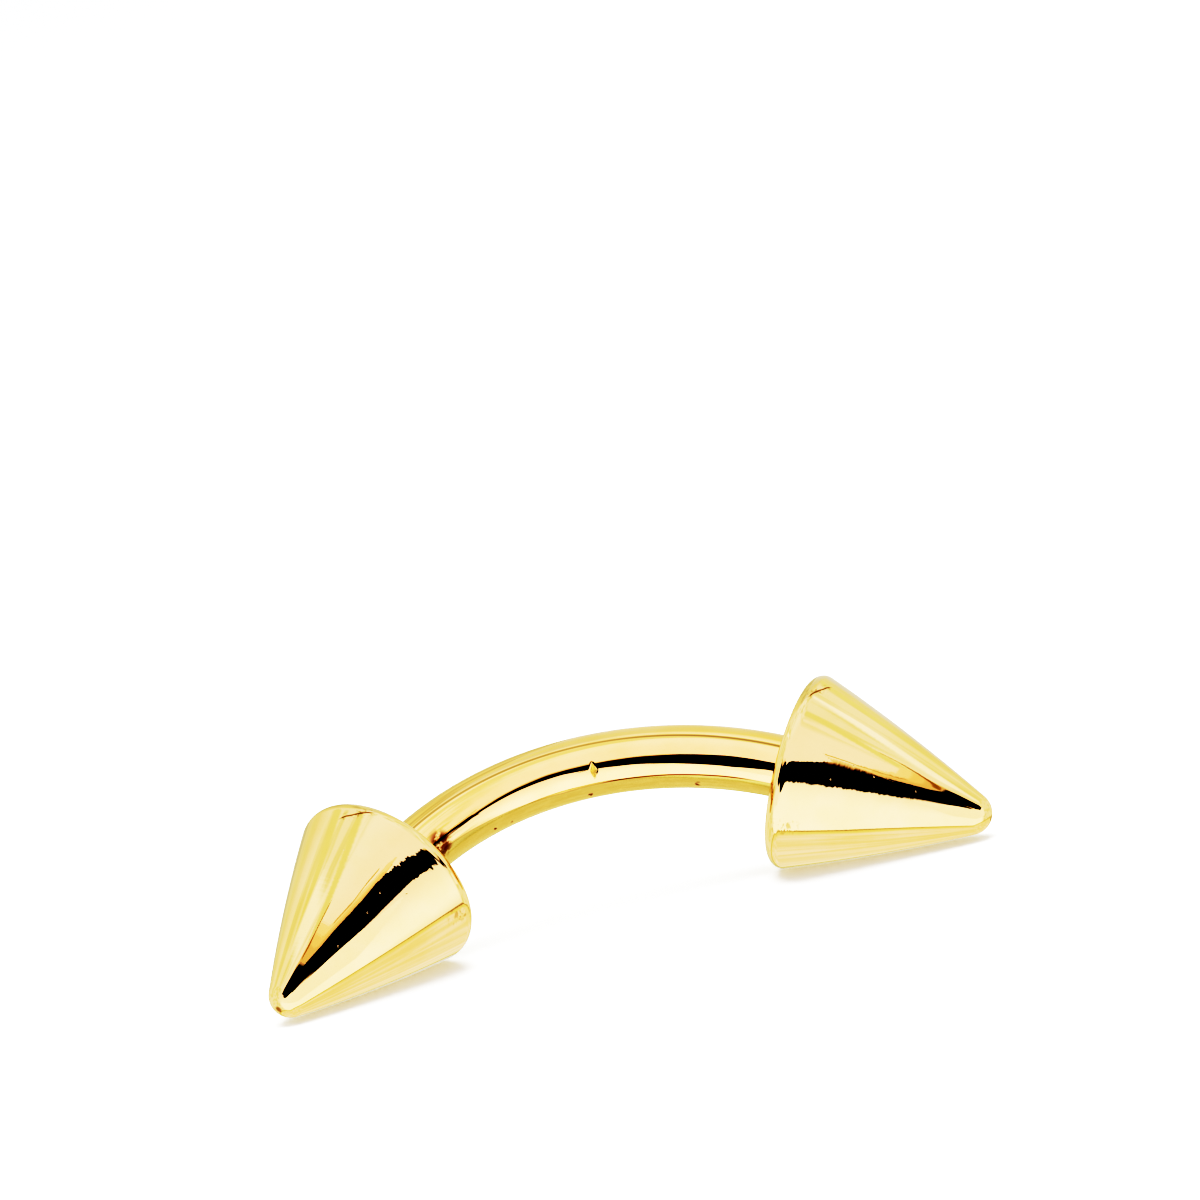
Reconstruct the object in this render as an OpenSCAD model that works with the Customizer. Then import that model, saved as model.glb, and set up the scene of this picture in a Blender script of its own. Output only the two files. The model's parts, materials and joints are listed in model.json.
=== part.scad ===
// Curved eyebrow barbell: a bent bar with a stud at each end, and a spike that screws onto each stud.
// Millimetres, +Z up. The barbell lies on the sides of its two spikes on the plane z = 0,
// with the points towards -Y and the arch of the bar leaning back towards +Y.

/* [Curved bar] */
// Thickness of the bar
bar_d = 1.2; // [1:0.05:1.6]
// Radius of the bend, to the middle of the bar
bend_r = 6.5; // [5:0.1:9]
// Turn of each half of the bend, from its middle to the base of a spike, in degrees
half_bend = 38; // [32:1:46]

/* [Studs] */
// Thickness of the stud that carries the thread
stud_d = 1; // [0.8:0.05:1]
// Length of the stud past the shoulder of the bar
stud_len = 1.9; // [1.2:0.1:2]
// Bevel at the free end of the stud
stud_bevel = 0.12; // [0.05:0.01:0.2]

/* [Spikes] */
// Widest diameter of a spike, close to its base
spike_d = 3.75; // [3.5:0.05:4.3]
// Length of a spike from its base to its point
spike_len = 3.95; // [3.7:0.05:5]
// Radius of the rounded rim around the base
rim_r = 0.22; // [0.1:0.01:0.35]
// Radius of the blunted point
tip_r = 0.42; // [0.2:0.01:0.6]
// Radius of the slight outward swell along the side
side_r = 36; // [24:1:80]

/* [Fit] */
// Gap all round between a stud or the bar and the hole that it enters
fit_gap = 0.04; // [0.02:0.01:0.08]
// Depth to which the full thickness of the bar enters the spike
seat_depth = 0.25; // [0.15:0.05:0.3]
// Space left in front of the shoulder of the bar and the end of the stud
end_gap = 0.03; // [0.02:0.01:0.1]

/* [Hidden] */
GOLD = [0.93, 0.76, 0.33];
// Steps that stand for each curve of the spike's outline
RIM_STEPS = 6;
SIDE_STEPS = 6;
TIP_STEPS = 6;
// The step of the side that lies under the barbell's weight, counted from the rim
REST_STEP = 1;
DRILL_POINT = 59;
SMOOTH = 64;

// Outline of a spike, with x along its axis from the base and y out from the axis.
// The side is one wide arc laid over the rim's circle and the point's circle, so it meets both smoothly.
rim_c = [rim_r, spike_d / 2 - rim_r];
tip_c = [spike_len - tip_r, 0];
rim_reach = side_r - rim_r;
tip_reach = side_r - tip_r;
apart = norm(tip_c - rim_c);
towards = (tip_c - rim_c) / apart;
inwards = [towards[1], -towards[0]];
along = (rim_reach * rim_reach - tip_reach * tip_reach + apart * apart) / (2 * apart);
side_c = rim_c + along * towards + sqrt(rim_reach * rim_reach - along * along) * inwards;
rim_turn = heading(rim_c - side_c);
tip_turn = heading(tip_c - side_c);

function heading(v) = atan2(v[1], v[0]);
function arc(c, r, from, to, steps) =
    [for (i = [1:steps]) let (a = from + (to - from) * i / steps) c + r * [cos(a), sin(a)]];

rim_arc = concat([[0, rim_c[1]]], arc(rim_c, rim_r, 180, rim_turn, RIM_STEPS));
side_arc = arc(side_c, side_r, rim_turn, tip_turn, SIDE_STEPS);
tip_arc = arc(tip_c, tip_r, tip_turn, 0, TIP_STEPS);
outline = concat([[0, 0]], rim_arc, side_arc, tip_arc);

// The barbell rests on one step of each side, so the axis of each spike slopes down by that step's angle
rest_a = side_arc[REST_STEP - 1];
rest_b = side_arc[REST_STEP];
rest_slope = -heading(rest_b - rest_a);
base_z = rest_a[0] * sin(rest_slope) + rest_a[1] * cos(rest_slope);
// Angle between the plane of the arch and the surface that the barbell lies on
lean = asin(sin(rest_slope) / sin(half_bend));

// Reach of the barbell forwards and backwards from the line through the middles of the two bases
axis_y = sin(half_bend) * cos(lean);
axis_side = sqrt(1 - axis_y * axis_y);
spike_front = max([for (p = outline) p[0] * axis_y + p[1] * axis_side]);
spike_back = max([for (p = outline) p[1] * axis_side - p[0] * axis_y]);
arch_rise = bend_r * (1 - cos(half_bend));
bar_back = arch_rise * cos(lean) + bar_d / 2;
base_y = (spike_front - max(spike_back, bar_back)) / 2;
base_x = bend_r * sin(half_bend);
// The full thickness of the bar runs on past the base, into the seat of the spike
shoulder = seat_depth - end_gap;
full_turn = half_bend + atan(shoulder / bend_r);

// Takes a thing drawn upright, with the bases' middles on the x axis and the arch towards +Z, to where it lies
module lying() translate([0, base_y, base_z]) rotate([lean - 90, 0, 0]) children();

// Takes a thing drawn along +Z from the middle of a base to the left (-1) or right (1) end of the bar
module at_end(side) lying() translate([side * base_x, 0, 0]) rotate([0, side * (90 + half_bend), 0]) children();

module bend()
    translate([0, 0, arch_rise - bend_r])
        rotate([90, 0, 0])
            rotate([0, 0, 90 - full_turn])
                rotate_extrude(angle = 2 * full_turn, $fn = 2 * SMOOTH)
                    translate([bend_r, 0]) circle(d = bar_d, $fn = SMOOTH);

module stud() {
    bevel_z = shoulder + stud_len - stud_bevel;
    cylinder(d = stud_d, h = bevel_z, $fn = SMOOTH);
    translate([0, 0, bevel_z]) cylinder(d1 = stud_d, d2 = stud_d - 2 * stud_bevel, h = stud_bevel, $fn = SMOOTH);
}

module curved_bar() color(GOLD) {
    lying() bend();
    for (side = [-1, 1]) at_end(side) stud();
}

module spike() color(GOLD) difference() {
    rotate_extrude($fn = SMOOTH) polygon([for (p = outline) [p[1], p[0]]]);
    seat_d = bar_d + 2 * fit_gap;
    bore_d = stud_d + 2 * fit_gap;
    bore_end = seat_depth + stud_len;
    translate([0, 0, -seat_depth]) cylinder(d = seat_d, h = 2 * seat_depth, $fn = SMOOTH);
    cylinder(d = bore_d, h = bore_end, $fn = SMOOTH);
    translate([0, 0, bore_end]) cylinder(d1 = bore_d, d2 = 0, h = bore_d / 2 / tan(DRILL_POINT), $fn = SMOOTH);
}

module left_spike() at_end(-1) spike();

module right_spike() at_end(1) spike();

curved_bar();
left_spike();
right_spike();
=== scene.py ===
import json
import math

import bpy
import numpy as np
from mathutils import Matrix, Vector


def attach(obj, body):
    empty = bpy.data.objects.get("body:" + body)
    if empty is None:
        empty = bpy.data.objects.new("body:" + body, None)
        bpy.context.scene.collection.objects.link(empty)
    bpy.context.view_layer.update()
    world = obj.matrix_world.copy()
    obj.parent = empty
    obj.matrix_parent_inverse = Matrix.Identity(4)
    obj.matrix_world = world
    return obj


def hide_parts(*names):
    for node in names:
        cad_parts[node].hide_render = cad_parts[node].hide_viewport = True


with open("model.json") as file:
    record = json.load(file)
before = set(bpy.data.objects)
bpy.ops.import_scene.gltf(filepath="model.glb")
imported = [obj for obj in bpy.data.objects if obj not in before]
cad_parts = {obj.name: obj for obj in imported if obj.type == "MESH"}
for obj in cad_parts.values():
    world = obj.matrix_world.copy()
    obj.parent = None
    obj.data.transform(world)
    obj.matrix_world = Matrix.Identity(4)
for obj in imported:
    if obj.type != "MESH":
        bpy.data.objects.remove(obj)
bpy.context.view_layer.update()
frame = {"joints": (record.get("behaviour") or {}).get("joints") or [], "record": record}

# Curved bar: one round wire of surgical steel, bent over a former, with a thread cut on a thinner stud at
# each end. It is drawn, polished and plated in gold colour, and keeps faint lines along its length, a nick,
# small dents and brown stains. Painted reflections lie on it too: a dark line along it, and a deeper gold
# with a brown line on the inner side of the bend.
BAR_R = 0.6e-3
BEND_R = 6.5e-3
HALF_BEND = math.radians(38)
SHOULDER = 0.22e-3
STUD_R = 0.5e-3
STUD_LEN = 1.9e-3
STUD_BEVEL = 0.12e-3
THREAD_PITCH = 0.25e-3
THREAD_DEPTH = 0.12e-3
BAR_SIDES = 144
BAR_STEPS = 420
STEPS_A_TURN = 10
SHARP_ANGLE = math.radians(35)
# Each mark is cut or pressed into the bar: its turn along the bend and its angle round the bar from the outer
# side, both in degrees, its half length, half width and depth. The first one is the deep nick.
MARKS = (
    {"turn": 3.2, "angle": 140.0, "length": 0.08e-3, "width": 0.20e-3, "depth": 0.055e-3},
    {"turn": 2.6, "angle": 193.0, "length": 0.09e-3, "width": 0.05e-3, "depth": 0.006e-3},
    {"turn": 22.2, "angle": 191.0, "length": 0.11e-3, "width": 0.05e-3, "depth": 0.008e-3},
    {"turn": -17.4, "angle": 181.0, "length": 0.12e-3, "width": 0.05e-3, "depth": 0.005e-3},
    {"turn": -13.8, "angle": 190.0, "length": 0.10e-3, "width": 0.06e-3, "depth": 0.006e-3},
)
# Brown stains of old polish, each with its turn, its angle and its radius
STAINS = (
    (-29.6, 140.0, 0.34e-3),
    (2.2, 192.0, 0.07e-3),
    (22.2, 191.0, 0.09e-3),
    (-17.4, 182.0, 0.06e-3),
    (-13.8, 190.0, 0.05e-3),
)

# The right spike's axis leans from along_x by half the bend, away from arch_up, the way that the arch rises
spike_axis = {joint["child"]: Vector(joint["axis"]).normalized() for joint in frame["joints"]}
along_x = Vector((1, 0, 0))
arch_up = (math.cos(HALF_BEND) * along_x - spike_axis["right_end"]).normalized()
bar_middle = Vector(frame["record"]["mounts"][0]["pos_m"])
bend_centre = bar_middle - BEND_R * arch_up


def turned_ring(centre, axis, up, distance, radius, sides):
    """Points round an axis at a distance along it; the radius is one number or one for each side."""
    angle = np.linspace(0, 2 * math.pi, sides, endpoint=False)
    across = np.array(axis.cross(up))
    around = np.outer(np.cos(angle), np.array(up)) + np.outer(np.sin(angle), across)
    return np.array(centre) + distance * np.array(axis) + around * np.broadcast_to(radius, sides)[:, None]


def thread_cut(distance, sides):
    """How deep a V thread is cut at each side of a ring, from 0 at its crest to 1 at its root."""
    turn = distance / THREAD_PITCH - np.arange(sides) / sides
    return 1 - np.abs(2 * (turn - np.floor(turn)) - 1)


def skin(name, first, rings, last, places, hand=1):
    """A closed mesh through rings of points, from the point first to the point last.

    places holds, for each ring, how far it lies along the piece and its radius. Each point keeps its own
    place as (distance along, height and width across the piece), which the finish reads, so marks follow the
    piece's shape. With hand -1 the width is counted the other way, for the mirrored one of two equal pieces.
    """
    sides = len(rings[0])
    points = np.vstack([[first], *rings, [last]])
    faces = []
    for step in range(len(rings) - 1):
        low = 1 + step * sides
        for side in range(sides):
            after = (side + 1) % sides
            faces.append((low + side, low + after, low + sides + after, low + sides + side))
    end = 1 + (len(rings) - 1) * sides
    for side in range(sides):
        after = (side + 1) % sides
        faces.append((0, 1 + after, 1 + side))
        faces.append((len(points) - 1, end + side, end + after))
    mesh = bpy.data.meshes.new(name)
    mesh.from_pydata(points.tolist(), [], faces)
    mesh.shade_smooth()
    mesh.set_sharp_from_angle(angle=SHARP_ANGLE)
    angle = np.linspace(0, 2 * math.pi, sides, endpoint=False)
    own = [[(places[0][0], 0.0, 0.0)]]
    for along, radius in places:
        height = radius * np.cos(angle)
        width = hand * radius * np.sin(angle)
        own.append(np.column_stack([np.full(sides, along), height, width]))
    own.append([(places[-1][0], 0.0, 0.0)])
    attribute = mesh.attributes.new("own_place", "FLOAT_VECTOR", "POINT")
    attribute.data.foreach_set("vector", np.vstack(own).ravel())
    piece = bpy.data.objects.new(name, mesh)
    bpy.context.scene.collection.objects.link(piece)
    return piece


def stud_rings():
    """Distance, plain radius and thread depth of each ring of a stud, from its free end to the shoulder."""
    free = SHOULDER + STUD_LEN
    rings = []
    steps = round(STUD_LEN / THREAD_PITCH * STEPS_A_TURN)
    for step in range(steps + 1):
        distance = free - STUD_LEN * step / steps
        from_end = min(free - distance, distance - SHOULDER)
        outer = STUD_R - max(0.0, STUD_BEVEL - (free - distance))
        rings.append((distance, outer, THREAD_DEPTH * min(1.0, from_end / THREAD_PITCH)))
    return rings


def bar_frame(turn):
    """Middle, direction and outward direction of the bar at an angle of the bend, from its middle."""
    outward = math.sin(turn) * along_x + math.cos(turn) * arch_up
    direction = math.cos(turn) * along_x - math.sin(turn) * arch_up
    return bend_centre + BEND_R * outward, direction, outward


def marked_radius(turn):
    """Radius of the bar at each side of a ring, with its marks cut in."""
    side_angle = np.linspace(0, 360, BAR_SIDES, endpoint=False)
    radius = np.full(BAR_SIDES, BAR_R)
    for mark in MARKS:
        along = abs(turn - math.radians(mark["turn"])) * BEND_R / mark["length"]
        from_mark = (side_angle - mark["angle"] + 180) % 360 - 180
        across = np.abs(np.radians(from_mark)) * BAR_R / mark["width"]
        radius -= mark["depth"] * np.clip(1 - along - across, 0, 1)
    return radius


bar_rings = []
bar_places = []


def add_stud(rings, hand):
    """Adds the rings of one stud to the bar: hand is -1 for the left stud and 1 for the right one."""
    base, axis, up = bar_frame(hand * HALF_BEND)
    for distance, outer, depth in rings:
        radius = outer - depth * thread_cut(distance, BAR_SIDES)
        bar_rings.append(turned_ring(base, axis, up, hand * distance, radius, BAR_SIDES))
        bar_places.append((hand * (HALF_BEND * BEND_R + distance), outer))


full_turn = HALF_BEND + math.atan(SHOULDER / BEND_R)
add_stud(stud_rings(), -1)
for turn in np.linspace(-full_turn, full_turn, BAR_STEPS + 1):
    bar_rings.append(turned_ring(*bar_frame(turn), 0, marked_radius(turn), BAR_SIDES))
    bar_places.append((turn * BEND_R, BAR_R))
add_stud(reversed(stud_rings()), 1)
left_base, left_axis, left_up = bar_frame(-HALF_BEND)
right_base, right_axis, right_up = bar_frame(HALF_BEND)
left_end = np.array(left_base - (SHOULDER + STUD_LEN) * left_axis)
right_end = np.array(right_base + (SHOULDER + STUD_LEN) * right_axis)
bar = skin("bar_wire", left_end, bar_rings, right_end, bar_places)

# Share of a spot's or a scratch's width that shows it at full strength
FULL_SHARE = 0.4


class Finish:
    """One socket of a finish's nodes. Arithmetic on it adds Math nodes."""

    def __init__(self, tree, socket=None):
        self.tree = tree
        self.socket = socket

    def node(self, kind, settings=None, sockets=None, output=0):
        """Adds a node: its settings or a ramp's stops first, then the values or links of its sockets."""
        made = self.tree.nodes.new(kind)
        for name, value in (settings or {}).items():
            if name == "stops":
                for position, colour in value[1:-1]:
                    made.color_ramp.elements.new(position).color = colour
                for end in (0, -1):
                    made.color_ramp.elements[end].position = value[end][0]
                    made.color_ramp.elements[end].color = value[end][1]
            else:
                setattr(made, name, value)
        for name, value in (sockets or {}).items():
            if isinstance(value, Finish):
                self.tree.links.new(value.socket, made.inputs[name])
            else:
                made.inputs[name].default_value = value
        return Finish(self.tree, made.outputs[output])

    def maths(self, operation, *values):
        """A Math node on numbers or sockets."""
        return self.node("ShaderNodeMath", {"operation": operation}, dict(enumerate(values)))

    def vector(self, operation, other, output=0):
        """A Vector Math node on this place or direction and another one."""
        return self.node("ShaderNodeVectorMath", {"operation": operation}, {0: self, 1: other}, output)

    def __add__(self, other):
        return self.maths("ADD", self, other)

    __radd__ = __add__

    def __sub__(self, other):
        return self.maths("SUBTRACT", self, other)

    def __rsub__(self, other):
        return self.maths("SUBTRACT", other, self)

    def __mul__(self, other):
        return self.maths("MULTIPLY", self, other)

    __rmul__ = __mul__

    def __truediv__(self, other):
        return self.maths("DIVIDE", self, other)

    def __abs__(self):
        return self.maths("ABSOLUTE", self)

    def step(self, low, high):
        """0 at low and 1 at high, with a soft change between."""
        return self.node(
            "ShaderNodeMapRange",
            {"interpolation_type": "SMOOTHSTEP", "clamp": True},
            {"Value": self, "From Min": low, "From Max": high, "To Min": 0.0, "To Max": 1.0},
        )

    def between(self, grows, fades):
        """1 from the end of the range grows to the start of the range fades, and 0 outside both."""
        return self.step(*grows) * (1 - self.step(*fades))

    def dot(self, direction):
        return self.vector("DOT_PRODUCT", direction, "Value")

    def stretch(self, factors):
        """A place multiplied along each of its three directions."""
        return self.vector("MULTIPLY", factors)

    def blend(self, colour, other, factor):
        """A colour that goes to the other colour as the factor goes to 1."""
        # Inputs 6 and 7 and output 2 of the Mix node are the ones for colours
        return self.node("ShaderNodeMix", {"data_type": "RGBA"}, {0: factor, 6: colour, 7: other}, output=2)

    def near(self, point, radius):
        """1 at a point and 0 from the radius outwards."""
        return 1 - self.vector("DISTANCE", point, "Value").step(radius * FULL_SHARE, radius)

    def noise(self, detail):
        """Noise from 0 to 1, one grain for each unit of the place."""
        return self.node("ShaderNodeTexNoise", None, {"Vector": self, "Scale": 1.0, "Detail": detail})


class Metal(Finish):
    """A polished and plated metal, whose colour, roughness and relief are expressions on its own place."""

    def __init__(self, name):
        self.material = bpy.data.materials.new(name)
        self.material.use_nodes = True
        super().__init__(self.material.node_tree)
        self.shader = self.tree.nodes["Principled BSDF"]
        self.shader.inputs["Metallic"].default_value = 1
        self.place = self.node("ShaderNodeAttribute", {"attribute_name": "own_place"}, output="Vector")

    def wear(self, colour, roughness, relief):
        """Links the three expressions to the shader, the relief as heights in metres."""
        bump = self.node("ShaderNodeBump", None, {"Strength": 1.0, "Distance": 1.0, "Height": relief})
        for name, made in (("Base Color", colour), ("Roughness", roughness), ("Normal", bump)):
            self.tree.links.new(made.socket, self.shader.inputs[name])


BAR_GOLD = (1.0, 0.80, 0.54, 1)
BAR_DEEP = (0.97, 0.77, 0.49, 1)
PAINTED_SHADE_GOLD = (0.72, 0.63, 0.36, 1)
NICK_GOLD = (1.0, 0.86, 0.52, 1)
REFLECTED_LINE_GOLD = (0.52, 0.42, 0.22, 1)
# Brown of the real stains, also used for the painted shadow line on the inner side
STAIN_AND_SHADOW_BROWN = (0.30, 0.13, 0.03, 1)
TURN_A_METRE = math.degrees(1 / BEND_R)
# How many grains of each texture go to a metre: along the bar, out from its bend and across it
DRAWN_GRAINS = (600.0, 16000.0, 16000.0)
WAVE_GRAINS = (1500.0, 2500.0, 2500.0)
BAR_CLOUDS = (900.0, 1600.0, 1600.0)
STAIN_GRAINS = (6000.0, 9000.0, 9000.0)
DRAWN_RELIEF = 0.5e-6
WAVE_RELIEF = 3.0e-6
REFLECTED_LINE_RELIEF = 0.5e-6
# The inner side's deeper gold, a painted reflection of the table's shade under the bar, begins at an edge, an
# angle round the bar from the middle of that side. Left of one turn of the bend the edge moves by its slant
# for each degree, and it waves a little everywhere.
INNER_ANGLE = -13.0
INNER_TURN = -3.0
INNER_SLANT = 0.615
INNER_WAVE = 1.5
INNER_GROWS = (-0.4, 0.6)
INNER_FADES = (45, 65)
# That edge carries a painted dark line, a painted reflection of the table's shadow line: faintly all along,
# and strongly over a part of the bend
SHADOW_LINE_WIDTH = (0.5, 1.8)
SHADOW_LINE_FAINT = 0.25
SHADOW_LINE_GROWS = (3, 8)
SHADOW_LINE_FADES = (28, 34)
# A painted reflection of a dark line runs along the bar over a slight groove: its angle at the middle of the
# bend, and how far it moves with each degree
REFLECTED_LINE_ANGLE = -93.2
REFLECTED_LINE_SLANT = 0.165
REFLECTED_LINE_WIDTH = (1.2, 3.6)
REFLECTED_LINE_SHARE = 0.9
# Ranges over which the deep gold, the stains and the dull faces of the nick come in
CLOUD_GROWS = (0.35, 0.75)
STAIN_GROWS = (0.38, 0.55)
NICK_GROWS = (0.0, 0.15)

bar_gold = Metal("bar_gold")
turn_along = bar_gold.place.dot((TURN_A_METRE, 0.0, 0.0))
bar_across = bar_gold.place.dot((0.0, 0.0, -1.0))
bar_inwards = bar_gold.place.dot((0.0, -1.0, 0.0))
round_bar = bar_gold.maths("ARCTAN2", bar_across, bar_inwards) * math.degrees(1)
drawn = bar_gold.place.stretch(DRAWN_GRAINS).noise(detail=3.0)
waves = bar_gold.place.stretch(WAVE_GRAINS).noise(detail=1.0)
bar_cloud = bar_gold.place.stretch(BAR_CLOUDS).noise(detail=4.0)
stain_grain = bar_gold.place.stretch(STAIN_GRAINS).noise(detail=2.0)
# The inner side of the bend, which faces the table, is painted a deeper gold as a painted reflection of the
# table's shade below it, and is a little rougher
inner_slant = bar_gold.maths("MINIMUM", (turn_along - INNER_TURN) * INNER_SLANT, 0.0)
painted_shade_edge = round_bar - INNER_ANGLE - inner_slant + (waves - 0.5) * INNER_WAVE
painted_shade_side = painted_shade_edge.step(*INNER_GROWS) * (1 - round_bar.step(*INNER_FADES))
shadow_line_share = SHADOW_LINE_FAINT + (1 - SHADOW_LINE_FAINT) * turn_along.between(SHADOW_LINE_GROWS, SHADOW_LINE_FADES)
painted_shadow_line = (1 - abs(painted_shade_edge).step(*SHADOW_LINE_WIDTH)) * shadow_line_share
painted_reflected_line = 1 - abs(round_bar - REFLECTED_LINE_ANGLE - REFLECTED_LINE_SLANT * turn_along).step(*REFLECTED_LINE_WIDTH)
stained = 0
for turn, angle, radius in STAINS:
    round_it = math.radians(angle)
    spot = (math.radians(turn) * BEND_R, BAR_R * math.cos(round_it), BAR_R * math.sin(round_it))
    stained = bar_gold.place.near(spot, radius) + stained
stained = stained * stain_grain.step(*STAIN_GROWS)
# The nick's own faces are a dull gold, because the buff never reached them. Its angle is counted from the
# outer side of the bend, and round_bar from the inner one.
nick = MARKS[0]
along_nick = abs(turn_along - nick["turn"]) * (math.radians(1) * BEND_R / nick["length"])
round_nick = abs(round_bar + 180 - nick["angle"]) * (math.radians(1) * BAR_R / nick["width"])
nicked = (1 - along_nick - round_nick).step(*NICK_GROWS)
bar_colour = bar_gold.blend(BAR_GOLD, BAR_DEEP, bar_cloud.step(*CLOUD_GROWS))
# Painted reflection: the deeper gold of the table's shade on the inner side
bar_colour = bar_gold.blend(bar_colour, PAINTED_SHADE_GOLD, painted_shade_side * (0.75 + 0.5 * stain_grain))
# Painted reflection: a dark olive line along the bar
bar_colour = bar_gold.blend(bar_colour, REFLECTED_LINE_GOLD, painted_reflected_line * REFLECTED_LINE_SHARE)
bar_colour = bar_gold.blend(bar_colour, NICK_GOLD, nicked)
# Painted reflection of the table's shadow line, in the stains' brown
bar_colour = bar_gold.blend(bar_colour, STAIN_AND_SHADOW_BROWN, painted_shadow_line)
bar_colour = bar_gold.blend(bar_colour, STAIN_AND_SHADOW_BROWN, stained)
bar_roughness = 0.03 + 0.05 * bar_cloud + 0.10 * painted_shade_side + 0.50 * nicked
bar_relief = drawn * DRAWN_RELIEF + waves * WAVE_RELIEF - painted_reflected_line * REFLECTED_LINE_RELIEF
bar_gold.wear(bar_colour, bar_roughness, bar_relief)
bar.data.materials.append(bar_gold.material)
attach(bar, "bar")
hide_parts("curved_bar")

# Spikes: two equal blunt cones, turned from steel on a lathe, mirror polished and plated in a paler gold.
# Each is drilled and tapped from its base, and screws onto a stud of the bar.
SPIKE_R = 1.875e-3
SPIKE_LEN = 3.95e-3
RIM_R = 0.22e-3
TIP_R = 0.42e-3
SIDE_R = 36e-3
SEAT_R = 0.64e-3
SEAT_DEPTH = 0.25e-3
BORE_R = 0.54e-3
BORE_END = 2.15e-3
DRILL_POINT = math.radians(59)
EDGE = 0.02e-3
SPIKE_SIDES = 288
RIM_STEPS = 34
SIDE_STEPS = 150
TIP_STEPS = 30
FACE_STEPS = 12


def spike_outline():
    """The outline as (distance from the base, radius): rim, side and point are arcs that meet smoothly."""
    rim = np.array([RIM_R, SPIKE_R - RIM_R])
    tip = np.array([SPIKE_LEN - TIP_R, 0.0])
    rim_reach = SIDE_R - RIM_R
    tip_reach = SIDE_R - TIP_R
    apart = np.linalg.norm(tip - rim)
    to_tip = (tip - rim) / apart
    inwards = np.array([to_tip[1], -to_tip[0]])
    along = (rim_reach**2 - tip_reach**2 + apart**2) / (2 * apart)
    centre = rim + along * to_tip + math.sqrt(rim_reach**2 - along**2) * inwards
    rim_turn = math.atan2(*(rim - centre)[::-1])
    tip_turn = math.atan2(*(tip - centre)[::-1])
    points = []
    for middle, radius, start, end, steps in (
        (rim, RIM_R, math.pi, rim_turn, RIM_STEPS),
        (centre, SIDE_R, rim_turn, tip_turn, SIDE_STEPS),
        (tip, TIP_R, tip_turn, 0, TIP_STEPS),
    ):
        for turn in np.linspace(start, end, steps + 1)[:-1]:
            points.append(tuple(middle + radius * np.array([math.cos(turn), math.sin(turn)])))
    return points


def spike(name, body, node, base, axis, up, hand):
    """A spike along its axis from the middle of its base; hand is -1 for the left one and 1 for the right."""
    rings = [(BORE_END, BORE_R, 0.0)]
    steps = round((BORE_END - SEAT_DEPTH) / THREAD_PITCH * STEPS_A_TURN)
    for step in range(1, steps):
        distance = BORE_END - (BORE_END - SEAT_DEPTH) * step / steps
        from_end = min(BORE_END - distance, distance - SEAT_DEPTH)
        rings.append((distance, BORE_R, THREAD_DEPTH / 2 * min(1.0, from_end / THREAD_PITCH)))
    plain = [(SEAT_DEPTH, BORE_R), (SEAT_DEPTH, SEAT_R), (EDGE, SEAT_R), (0.0, SEAT_R + EDGE)]
    face_radii = np.linspace(SEAT_R + EDGE, SPIKE_R - RIM_R, FACE_STEPS + 1)[1:-1]
    plain += [(0.0, radius) for radius in face_radii]
    rings += [(distance, radius, 0.0) for distance, radius in plain + spike_outline()]
    points = []
    for distance, radius, depth in rings:
        cut = radius + depth * (1 - thread_cut(distance, SPIKE_SIDES))
        points.append(turned_ring(base, axis, up, distance, cut, SPIKE_SIDES))
    drill_end = base + (BORE_END + BORE_R / math.tan(DRILL_POINT)) * axis
    places = [(distance, radius) for distance, radius, depth in rings]
    piece = skin(name, np.array(drill_end), points, np.array(base + SPIKE_LEN * axis), places, hand)
    piece.data.materials.append(spike_gold.material)
    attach(piece, body)
    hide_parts(node)


SPIKE_GOLD = (0.92, 0.775, 0.545, 1)
SPIKE_DEEP = (0.90, 0.75, 0.50, 1)
SCRATCH = (0.40, 0.26, 0.09, 1)
# Pits in the plating of each spike, as distance from the base, radius and angle round the axis
PITS = (
    (2.60e-3, 0.91e-3, 121),
    (1.82e-3, 1.25e-3, 120),
    (1.41e-3, 1.42e-3, 117),
    (1.09e-3, 1.56e-3, 131),
    (1.05e-3, 1.57e-3, 76),
)
PIT_R = 0.022e-3
PIT_DEPTH = 5e-6
# A scratch runs slantwise round each spike beside its rim: its distance from the base at one angle, how fast
# it nears the base with each degree, how far it wanders, its half width and that of the haze along it
SCRATCH_ANGLE = 68
SCRATCH_DISTANCE = 0.40e-3
SCRATCH_SLANT = 12e-6
SCRATCH_WANDER = 0.06e-3
SCRATCH_WIDTH = 0.02e-3
HAZE_WIDTH = 0.12e-3
SCRATCH_GROWS = (60, 65)
SCRATCH_FADES = (79, 84)
# The rough patch, and the side that shows the steps of the turning tool: where each grows in and fades out,
# by distance from the base and by angle
PATCH_ALONG = ((0.14e-3, 0.22e-3), (0.45e-3, 0.75e-3))
PATCH_ROUND = ((161, 165), (170, 175))
TOOL_ROUND = ((106, 114), (136, 146))
TOOL_FADES = (2.0e-3, 3.0e-3)
# The plating is worn through at the very point
WORN_R = 0.09e-3
WORN_SHARE = 0.8
# Ranges of the buff's grain over which the haze and the rough patch come in, and how strongly they show
HAZE_GROWS = (0.5, 0.62)
HAZE_SHARE = 0.5
PATCH_GROWS = (0.48, 0.66)
PATCH_SHARE = 0.4
# How many grains of each texture go to a metre: along the spike and in the two directions across it
TURNED_GRAINS = (14000.0, 500.0, 500.0)
TOOL_GRAINS = (6500.0, 2500.0, 2500.0)
SPIKE_CLOUDS = (900.0, 900.0, 900.0)
BUFF_GRAINS = (16000.0, 9000.0, 9000.0)
BREAK_GRAINS = (900.0, 5000.0, 5000.0)
TURNED_RELIEF = 0.2e-6
TOOL_RELIEF = 1.6e-6
PATCH_RELIEF = 2.0e-6

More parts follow.
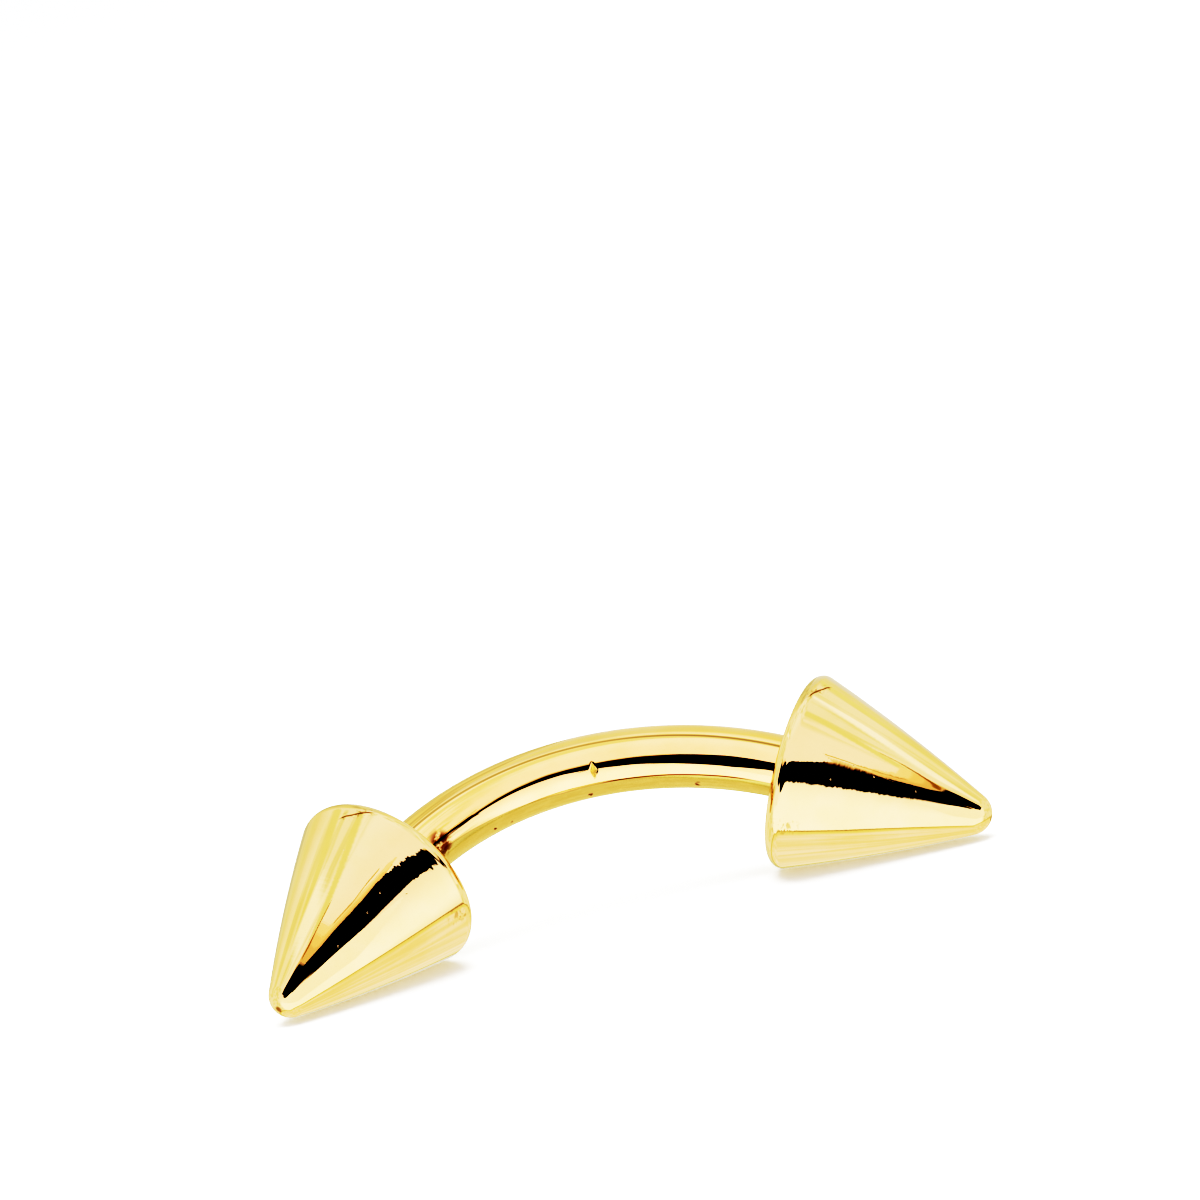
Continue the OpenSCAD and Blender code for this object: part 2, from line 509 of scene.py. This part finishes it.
spike_gold = Metal("spike_gold")
from_base = spike_gold.place.dot((1.0, 0.0, 0.0))
spike_across = spike_gold.place.dot((0.0, 0.0, 1.0))
spike_upwards = spike_gold.place.dot((0.0, 1.0, 0.0))
round_spike = spike_gold.maths("ARCTAN2", spike_across, spike_upwards) * math.degrees(1)
turned = spike_gold.place.stretch(TURNED_GRAINS).noise(detail=3.0)
tool_steps = spike_gold.place.stretch(TOOL_GRAINS).noise(detail=2.0)
spike_cloud = spike_gold.place.stretch(SPIKE_CLOUDS).noise(detail=4.0)
buff_grain = spike_gold.place.stretch(BUFF_GRAINS).noise(detail=3.0)
breaks = spike_gold.place.stretch(BREAK_GRAINS).noise(detail=2.0)
# The buff left scratches beside the rim on the upper side, and a rough patch near the rim lower down
scratch_slant = (round_spike - SCRATCH_ANGLE) * SCRATCH_SLANT
off_scratch = abs(from_base - SCRATCH_DISTANCE + scratch_slant + (breaks - 0.5) * SCRATCH_WANDER)
scratch = 1 - off_scratch.step(SCRATCH_WIDTH * FULL_SHARE, SCRATCH_WIDTH)
haze = (1 - off_scratch.step(SCRATCH_WIDTH, HAZE_WIDTH)) * buff_grain.step(*HAZE_GROWS)
scratched = (scratch + haze * HAZE_SHARE) * round_spike.between(SCRATCH_GROWS, SCRATCH_FADES)
rough_patch = from_base.between(*PATCH_ALONG) * round_spike.between(*PATCH_ROUND)
tool_side = round_spike.between(*TOOL_ROUND) * (1 - from_base.step(*TOOL_FADES))
worn_point = spike_gold.place.near((SPIKE_LEN, 0.0, 0.0), WORN_R)
pitted = 0
for along, radius, angle in PITS:
    round_it = math.radians(angle)
    pit = (along, radius * math.cos(round_it), radius * math.sin(round_it))
    pitted = spike_gold.place.near(pit, PIT_R) + pitted
rough_spots = rough_patch * buff_grain.step(*PATCH_GROWS) * PATCH_SHARE
spike_colour = spike_gold.blend(SPIKE_GOLD, SPIKE_DEEP, spike_cloud.step(*CLOUD_GROWS))
spike_colour = spike_gold.blend(spike_colour, SCRATCH, worn_point * WORN_SHARE)
spike_colour = spike_gold.blend(spike_colour, SCRATCH, scratched + rough_spots)
spike_relief = turned * TURNED_RELIEF + tool_steps * TOOL_RELIEF * tool_side
spike_relief = spike_relief + buff_grain * PATCH_RELIEF * rough_patch - pitted * PIT_DEPTH
spike_gold.wear(spike_colour, 0.02 + 0.04 * spike_cloud, spike_relief)
spike("left_cone", "left_end", "left_spike", left_base, -left_axis, left_up, -1)
spike("right_cone", "right_end", "right_spike", right_base, right_axis, right_up, 1)

# Camera: a long lens low in front of the barbell and a little to its left, rolled as the photograph is.
# The point midway between the bases shows this many pixels to the right of the frame's middle and below it.
CAMERA_AZIMUTH = math.radians(-13.01)
CAMERA_HEIGHT = math.radians(11.74)
CAMERA_ROLL = math.radians(12.18)
CAMERA_DISTANCE = 0.5
PIXELS = 1200
PIXELS_A_METRE = 53010
MIDWAY_RIGHT = -6.95
MIDWAY_DOWN = 222.62
SENSOR = 36.0
NEAREST = 0.01
FARTHEST = 10

ahead = Vector((math.sin(CAMERA_AZIMUTH), -math.cos(CAMERA_AZIMUTH), 0))
beside = Vector((math.cos(CAMERA_AZIMUTH), math.sin(CAMERA_AZIMUTH), 0))
overhead = Vector((0, 0, 1))
looking = -math.cos(CAMERA_HEIGHT) * ahead - math.sin(CAMERA_HEIGHT) * overhead
steep = looking.cross(beside)
picture_right = math.cos(CAMERA_ROLL) * beside + math.sin(CAMERA_ROLL) * steep
picture_down = math.cos(CAMERA_ROLL) * steep - math.sin(CAMERA_ROLL) * beside
midway = (left_base + right_base) / 2
eye = midway - CAMERA_DISTANCE * looking
eye -= (MIDWAY_RIGHT * picture_right + MIDWAY_DOWN * picture_down) / PIXELS_A_METRE

lens = bpy.data.cameras.new("long_lens")
lens.sensor_width = SENSOR
lens.lens = SENSOR * CAMERA_DISTANCE * PIXELS_A_METRE / PIXELS
lens.clip_start = NEAREST
lens.clip_end = FARTHEST
camera = bpy.data.objects.new("camera", lens)
turned_to = Matrix((picture_right, -picture_down, -looking)).transposed().to_4x4()
camera.matrix_world = Matrix.Translation(eye) @ turned_to
bpy.context.scene.collection.objects.link(camera)
bpy.context.scene.camera = camera

# Light tent: white cloth all round, a pale table under it, and the dark gap that the camera looks through.
# A direction is an azimuth in degrees from the camera's side, growing towards the right of the picture, and
# an elevation above the table.
CLOTH = (0.93, 0.85, 0.84, 1)
TOP_CLOTH = (0.93, 0.89, 0.90, 1)
SIDE_CLOTH = (0.86, 0.82, 0.78, 1)
BACK_CLOTH = (0.78, 0.72, 0.64, 1)
FAR_LEFT_CLOTH = (0.58, 0.58, 0.50, 1)
FAR_RIGHT_CLOTH = (0.68, 0.69, 0.69, 1)
CREASE = (0.74, 0.72, 0.60, 1)
TABLE = (1.06, 1.04, 1.04, 1)
TABLE_SHADE = (0.83, 0.76, 0.68, 1)
PALE_SHADE = (0.90, 0.83, 0.83, 1)
SEAM = (0.77, 0.75, 0.61, 1)
BRIGHT_SEAM = (0.98, 0.95, 0.97, 1)
TABLE_SEAM = (0.79, 0.745, 0.55, 1)
TABLE_LINE = (0.44, 0.36, 0.22, 1)
# Grains of the creases and of the table's shade, for each unit of the direction
CREASE_GRAINS = (6.0, 6.0, 6.0)
SHADE_GRAINS = (9.0, 9.0, 9.0)
# Where each wall of the tent grows in, as an azimuth to either side, and gives way upwards to the top
SIDE_WALL = ((50, 85), (58, 72))
BACK_WALL = ((132, 150), (55, 72))
FAR_WALL = ((150, 165), (60, 75))
# How far the lit front of the table reaches, upwards and to either side
TABLE_TOP = (-30, 12)
TABLE_SIDES = (56, 74)
# Elevation at which the lit front of the table ends at each azimuth
TABLE_EDGE = (
    (-180, -30),
    (-120, -45),
    (-60, -57),
    (-40, -66),
    (-12, -65),
    (0, -61),
    (20, -56),
    (45, -50),
    (60, -46),
    (75, -41),
    (100, -33),
    (130, -24),
    (180, -30),
)
# Under that edge come a dark line, a seam and the table's shade, which start or end so many degrees past it
SHADE_STARTS = (-0.4, 0.4)
LINE_ENDS = (0.8, 1.8)
SEAM_ENDS = (3.0, 7.0)
# Lower and upper edge of the gap at each azimuth
GAP = (
    (-40, 10, 24),
    (-36, 6, 25),
    (-28, 0, 25),
    (-20, -12, 25),
    (-10, -14, 19),
    (0, -12, 18),
    (8, -9, 17),
    (14, -5.5, 17),
    (20, -2, 17.5),
    (24, 2.5, 18.5),
    (28, 6, 19.5),
    (33, 8, 21),
    (40, 9, 19),
    (50, 6, 12),
    (60, 2, 8),
    (75, 2, 6),
)
GAP_SIDES = ((-41, -35), (56, 72))
LOW_EDGE = (-0.8, 0.8)
# The gap's upper edge turns from black to cloth over some degrees, through the tones of its rim
RIM_HEIGHT = 8
GAP_RIM = (
    (0.2, (0.0, 0.0, 0.0, 1)),
    (0.36, (0.18, 0.10, 0.04, 1)),
    (0.50, (0.52, 0.42, 0.28, 1)),
    (0.66, (0.76, 0.66, 0.54, 1)),
    (0.95, (0.90, 0.81, 0.78, 1)),
)
# Seams in the cloth, as start, end, half width in degrees and colour
SEAMS = (
    ((77, 47), (58, 35), 1.3, SEAM),
    ((112, 42), (80, 38), 2.0, BRIGHT_SEAM),
    ((150, 22), (138, 26), 2.2, SEAM),
    ((-88, 62), (-38, 57), 1.3, SEAM),
    ((-104, 50), (-66, 58), 1.8, BRIGHT_SEAM),
    ((-130, 40), (-110, 47), 1.8, SEAM),
)

world = bpy.data.worlds.new("light_tent")
world.use_nodes = True
bpy.context.scene.world = world
tent = Finish(world.node_tree)
sky = tent.node("ShaderNodeTexCoord", output="Generated")
azimuth = tent.maths("ARCTAN2", sky.dot(beside), sky.dot(ahead)) * math.degrees(1)
elevation = tent.maths("ARCSINE", sky.dot(overhead)) * math.degrees(1)


def towards(azimuth_deg, elevation_deg):
    """The direction at an azimuth and an elevation."""
    turn = math.radians(azimuth_deg)
    rise = math.radians(elevation_deg)
    level = math.cos(turn) * ahead + math.sin(turn) * beside
    return math.cos(rise) * level + math.sin(rise) * overhead


def by_azimuth(rows, column):
    """An elevation that changes with the azimuth as a column of the rows says, by the greys of a ramp."""
    stops = [((row[0] + 180) / 360, (row[column] / 180 + 0.5,) * 3 + (1,)) for row in rows]
    return tent.node("ShaderNodeValToRGB", {"stops": stops}, {"Fac": (azimuth + 180) / 360}) * 180 - 90


def seam(start, end, half_width):
    """1 along a straight seam between two directions."""
    a = towards(*start)
    b = towards(*end)
    off = abs(sky.dot(a.cross(b).normalized()))
    middle = (a + b).normalized()
    reach = math.acos(middle.dot(a))
    width = math.radians(half_width)
    ends = sky.dot(middle).step(math.cos(reach + width), math.cos(reach))
    return (1 - off.step(width * 0.5, width * 1.5)) * ends


def wall(turn_grows, rise_fades):
    """1 over a wall that stands to both sides, from its azimuth on and up to its elevation."""
    return abs(azimuth).step(*turn_grows) * (1 - elevation.step(*rise_fades))


creases = sky.stretch(CREASE_GRAINS).noise(detail=2.0)
speckle = sky.stretch(SHADE_GRAINS).noise(detail=2.0)
far_cloth = tent.blend(FAR_LEFT_CLOTH, FAR_RIGHT_CLOTH, azimuth.step(-10, 10))
table_front = (1 - elevation.step(*TABLE_TOP)) * (1 - abs(azimuth).step(*TABLE_SIDES))
cloth = tent.blend(CLOTH, TOP_CLOTH, elevation.step(45, 70))
cloth = tent.blend(cloth, SIDE_CLOTH, wall(*SIDE_WALL))
cloth = tent.blend(cloth, BACK_CLOTH, wall(*BACK_WALL))
cloth = tent.blend(cloth, far_cloth, wall(*FAR_WALL))
cloth = tent.blend(cloth, CREASE, creases.step(0.44, 0.62) * abs(azimuth).step(40, 70) * 0.8)
cloth = tent.blend(cloth, TABLE, table_front)
for start, end, half_width, colour in SEAMS:
    cloth = tent.blend(cloth, colour, seam(start, end, half_width))
past_edge = by_azimuth(TABLE_EDGE, 1) - elevation
shade = tent.blend(TABLE_SHADE, PALE_SHADE, speckle.step(0.4, 0.66))
shade = tent.blend(TABLE_SEAM, shade, past_edge.step(*SEAM_ENDS))
shade = tent.blend(TABLE_LINE, shade, past_edge.step(*LINE_ENDS))
cloth = tent.blend(cloth, shade, past_edge.step(*SHADE_STARTS))
over_low_edge = (elevation - by_azimuth(GAP, 1)).step(*LOW_EDGE)
up_rim = (elevation - by_azimuth(GAP, 2)) / RIM_HEIGHT + 0.5
rim_colour = tent.node("ShaderNodeValToRGB", {"stops": GAP_RIM}, {"Fac": up_rim})
in_gap = azimuth.between(*GAP_SIDES) * over_low_edge * (1 - up_rim.step(0.9, 1.0))
cloth = tent.blend(cloth, rim_colour, in_gap)
tent.tree.links.new(cloth.socket, tent.tree.nodes["Background"].inputs["Color"])

# Cards: small cards stand close in front of the spikes and show only in the polished metal. A black one gives
# each spike its dark wedge, golden ones behind it the wedge's edge, and thin strips in front the fine lines
# beside it. Pale ones end the wedge at the point and at the rim.
CARD_STAND = 1.8e-3
CARD_DISTANCE = 14e-3
POINT_STAND = 3.2e-3
POINT_DISTANCE = 5e-3
RIM_STAND = 0.5e-3
RIM_DISTANCE = 4e-3
LAYER = 0.1e-3
# Azimuth and elevation of each card, as its spike sees it
LEFT_FACING = (8, 30)
LEFT_POINT_FACING = (5, 5)
RIGHT_FACING = (30, 12)
RIGHT_POINT_FACING = (35, 8)
RIGHT_RIM_FACING = (22, 16)
# Outlines are in millimetres on the card's own plane
MILLIMETRE = 1e-3
LEFT_BLACK = (
    (5.8, -0.8), (4.0, 0.4), (2.8, 1.1), (1.8, 1.5), (1.2, 1.2), (0.4, 1.2), (-0.9, 1.5), (-1.8, 1.6),
    (-2.7, 2.1), (-3.8, 2.8), (-6.6, 6.2), (-7.6, 7.0), (-8.6, 6.4), (-12.0, 3.0), (-16.4, 0.3), (-9.4, -6.1),
    (-4.9, -3.9), (-1.7, -2.6), (-0.1, -2.9), (1.2, -3.8), (2.6, -4.7), (3.9, -5.2), (6.0, -5.0), (7.5, -4.8),
    (9.2, -5.5), (10.6, -6.8), (9.4, -4.6),
)
LEFT_EDGE = (
    (2.4, 1.2), (1.4, 1.7), (0.6, 1.6), (-0.6, 1.9), (-1.8, 2.3), (-2.8, 2.8), (-3.6, 3.6), (-7.0, 7.9),
    (-8.0, 7.8), (-8.0, 4.0), (-3.0, -1.0), (1.0, -0.6),
)
LEFT_STRIP = (
    (1.0, 3.3), (0.2, 3.3), (-0.5, 2.9), (-2.1, 3.5), (-2.1, 3.3), (-0.5, 2.65), (0.2, 3.05), (0.9, 3.1),
)
LEFT_DARK_STRIP = (
    (-6.9, 10.2), (-6.6, 10.2), (-6.7, 8.4), (-6.3, 6.9), (-6.6, 6.4), (-7.1, 7.2), (-7.1, 8.6),
)
LEFT_POINT = (
    (5.0, 0.9), (1.5, 0.9), (1.1, 1.05), (0.5, 1.3), (-0.1, 1.6), (-1.25, 0.95), (-2.6, 0.1), (-6.0, -0.6),
    (-6.0, -3.0), (5.0, -3.0),
)
RIGHT_BLACK = (
    (0.3, 2.2), (1.5, 2.3), (2.9, 2.8), (4.4, 3.8), (6.8, 5.8), (7.8, 6.0), (8.2, 4.6), (10.0, 1.4),
    (7.1, -0.8), (3.8, 0.8), (2.9, 0.8), (2.1, 0.2), (0.6, -1.0),
)
RIGHT_EDGE = (
    (0.0, 2.3), (0.9, 2.8), (1.8, 3.0), (2.7, 3.5), (3.6, 4.0), (7.5, 7.4), (7.8, 6.4), (7.0, 3.6),
    (3.0, 0.0), (0.6, 1.0),
)
RIGHT_STRIP = (
    (-0.8, 4.35), (-0.1, 4.05), (0.4, 3.6), (0.8, 3.5), (1.6, 3.4), (2.6, 3.9), (2.7, 3.7), (1.6, 3.15),
    (0.8, 3.25), (0.3, 3.45), (-0.2, 3.85), (-0.8, 4.15),
)
RIGHT_DARK_STRIP = (
    (8.2, 10.4), (8.5, 10.4), (8.8, 9.5), (8.2, 8.2), (7.4, 6.9), (6.7, 5.9), (4.5, 4.0), (4.6, 4.4),
    (6.2, 6.0), (7.0, 7.0), (7.8, 8.2), (8.5, 9.5),
)
RIGHT_POINT = (
    (-2.2, -0.35), (-1.5, -0.2), (-1.0, 0.0), (-0.6, 0.2), (0.0, 0.4), (0.35, 0.74), (0.7, 0.72), (1.8, 0.1),
    (2.8, 0.7), (4.0, 0.7), (4.0, -3.0), (-2.2, -3.0),
)
RIGHT_RIM = ((-2.4, 0.4), (-1.2, 0.1), (-0.4, 0.2), (0.0, 0.3), (0.0, 1.6), (-2.4, 1.6))
BLACK = (0.0, 0.0, 0.0, 1)
STRIP_GOLD = (0.60, 0.46, 0.29, 1)
STRIP_BROWN = (0.40, 0.28, 0.10, 1)
PALE = (0.99, 0.94, 0.93, 1)
# The wedge's golden edge grows paler outwards: each layer is shifted to show past the one in front of it
EDGE_TONES = ((0.74, 0.60, 0.45, 1), (0.84, 0.68, 0.54, 1), (0.89, 0.76, 0.67, 1))
LEFT_SHIFT = (0.2, 0.5)
RIGHT_SHIFT = (-0.2, 0.5)


def matt_paint(name, colour, glow, strength):
    """A matt paint that also glows by itself."""
    paint = bpy.data.materials.new(name)
    paint.use_nodes = True
    inputs = paint.node_tree.nodes["Principled BSDF"].inputs
    inputs["Base Color"].default_value = colour
    inputs["Roughness"].default_value = 1
    inputs["Specular IOR Level"].default_value = 0
    inputs["Emission Color"].default_value = glow
    inputs["Emission Strength"].default_value = strength
    return paint


def hide_from(piece, *rays):
    """Hides a piece from some kinds of rays."""
    for ray in rays:
        setattr(piece, "visible_" + ray, False)


def card(name, stand, facing, distance, outline, colour, shift=(0, 0)):
    """A flat card of one colour that faces a place on a spike's axis; shift moves its outline on the card."""
    outwards = towards(*facing)
    across = overhead.cross(outwards).normalized()
    upward = outwards.cross(across)
    middle = stand + distance * outwards
    points = []
    for u, v in outline:
        points.append(middle + ((u + shift[0]) * across + (v + shift[1]) * upward) * MILLIMETRE)
    mesh = bpy.data.meshes.new(name)
    mesh.from_pydata([tuple(point) for point in points], [], [tuple(range(len(points)))])
    mesh.materials.append(matt_paint(name, BLACK, colour, 1))
    piece = bpy.data.objects.new(name, mesh)
    hide_from(piece, "camera", "diffuse", "shadow", "transmission", "volume_scatter")
    bpy.context.scene.collection.objects.link(piece)


left_place = (left_base - CARD_STAND * left_axis, LEFT_FACING)
left_point = (left_base - POINT_STAND * left_axis, LEFT_POINT_FACING)
right_place = (right_base + CARD_STAND * right_axis, RIGHT_FACING)
right_point = (right_base + POINT_STAND * right_axis, RIGHT_POINT_FACING)
right_rim = (right_base + RIM_STAND * right_axis, RIGHT_RIM_FACING)
card("left_black_card", *left_place, CARD_DISTANCE, LEFT_BLACK, BLACK)
card("left_strip", *left_place, CARD_DISTANCE - LAYER, LEFT_STRIP, STRIP_GOLD)
card("left_dark_strip", *left_place, CARD_DISTANCE - LAYER, LEFT_DARK_STRIP, STRIP_BROWN)
card("left_point_card", *left_point, POINT_DISTANCE, LEFT_POINT, PALE)
card("right_black_card", *right_place, CARD_DISTANCE, RIGHT_BLACK, BLACK)
card("right_strip", *right_place, CARD_DISTANCE - LAYER, RIGHT_STRIP, STRIP_GOLD)
card("right_dark_strip", *right_place, CARD_DISTANCE - LAYER, RIGHT_DARK_STRIP, STRIP_BROWN)
card("right_point_card", *right_point, POINT_DISTANCE, RIGHT_POINT, PALE)
for layer, tone in enumerate(EDGE_TONES):
    behind = CARD_DISTANCE + LAYER * (layer + 1)
    left_shift = [layer * part for part in LEFT_SHIFT]
    right_shift = [layer * part for part in RIGHT_SHIFT]
    card(f"left_edge_card_{layer}", *left_place, behind, LEFT_EDGE, tone, left_shift)
    card(f"right_edge_card_{layer}", *right_place, behind, RIGHT_EDGE, tone, right_shift)
card("right_rim_card", *right_rim, RIM_DISTANCE, RIGHT_RIM, CLOTH)

# Floor: plain white paper, lit by the tent and by a softbox above, and kept out of the metal's reflections.
# A white backdrop behind it, for the camera alone, carries the paper's white on.
FLOOR_R = 0.15
FLOOR_SIDES = 128
FLOOR_GLOW = 0.12
PAPER = (0.88, 0.93, 0.97, 1)
WHITE = (1.0, 1.0, 1.0, 1)
BACKDROP_R = 2.0
BACKDROP_GLOW = 2
SOFTBOX_WIDTH = 0.09
SOFTBOX_HEIGHT = 0.10
SOFTBOX_POWER = 0.12
bpy.ops.mesh.primitive_circle_add(vertices=FLOOR_SIDES, radius=FLOOR_R, fill_type="NGON")
floor = bpy.context.object
floor.name = "floor"
floor.data.materials.append(matt_paint("paper", PAPER, WHITE, FLOOR_GLOW))
hide_from(floor, "glossy")
bpy.ops.mesh.primitive_uv_sphere_add(segments=64, ring_count=32, radius=BACKDROP_R)
backdrop = bpy.context.object
backdrop.name = "backdrop"
backdrop.data.materials.append(matt_paint("backdrop_white", BLACK, WHITE, BACKDROP_GLOW))
hide_from(backdrop, "diffuse", "glossy", "transmission", "volume_scatter", "shadow")
softbox = bpy.data.lights.new("softbox", "AREA")
softbox.size = SOFTBOX_WIDTH
softbox.energy = SOFTBOX_POWER
lamp = bpy.data.objects.new("softbox", softbox)
lamp.location = midway + SOFTBOX_HEIGHT * overhead
hide_from(lamp, "glossy")
bpy.context.scene.collection.objects.link(lamp)

# Picture: the contrast of a bright catalogue photograph, where pale reflections turn cream and dim ones stay
# golden. Each tone is a level of light and the level that is shown for it.
TONES = (
    (0.0, 0.0),
    (0.16, 0.015),
    (0.29, 0.10),
    (0.45, 0.46),
    (0.62, 0.76),
    (0.85, 0.93),
    (1.1, 1.0),
    (2.0, 1.0),
)
# Curves 0 to 2 are for red, green and blue, and this one is for all three
ALL_COLOURS = 3
view = bpy.context.scene.view_settings
view.view_transform = "Standard"
view.use_curve_mapping = True
curves = view.curve_mapping
curves.clip_max_x = TONES[-1][0]
curves.use_clip = True
tone_curve = curves.curves[ALL_COLOURS]
while len(tone_curve.points) < len(TONES):
    tone_curve.points.new(0.5, 0.5)
for point, tone in zip(tone_curve.points, TONES):
    point.location = tone
curves.update()
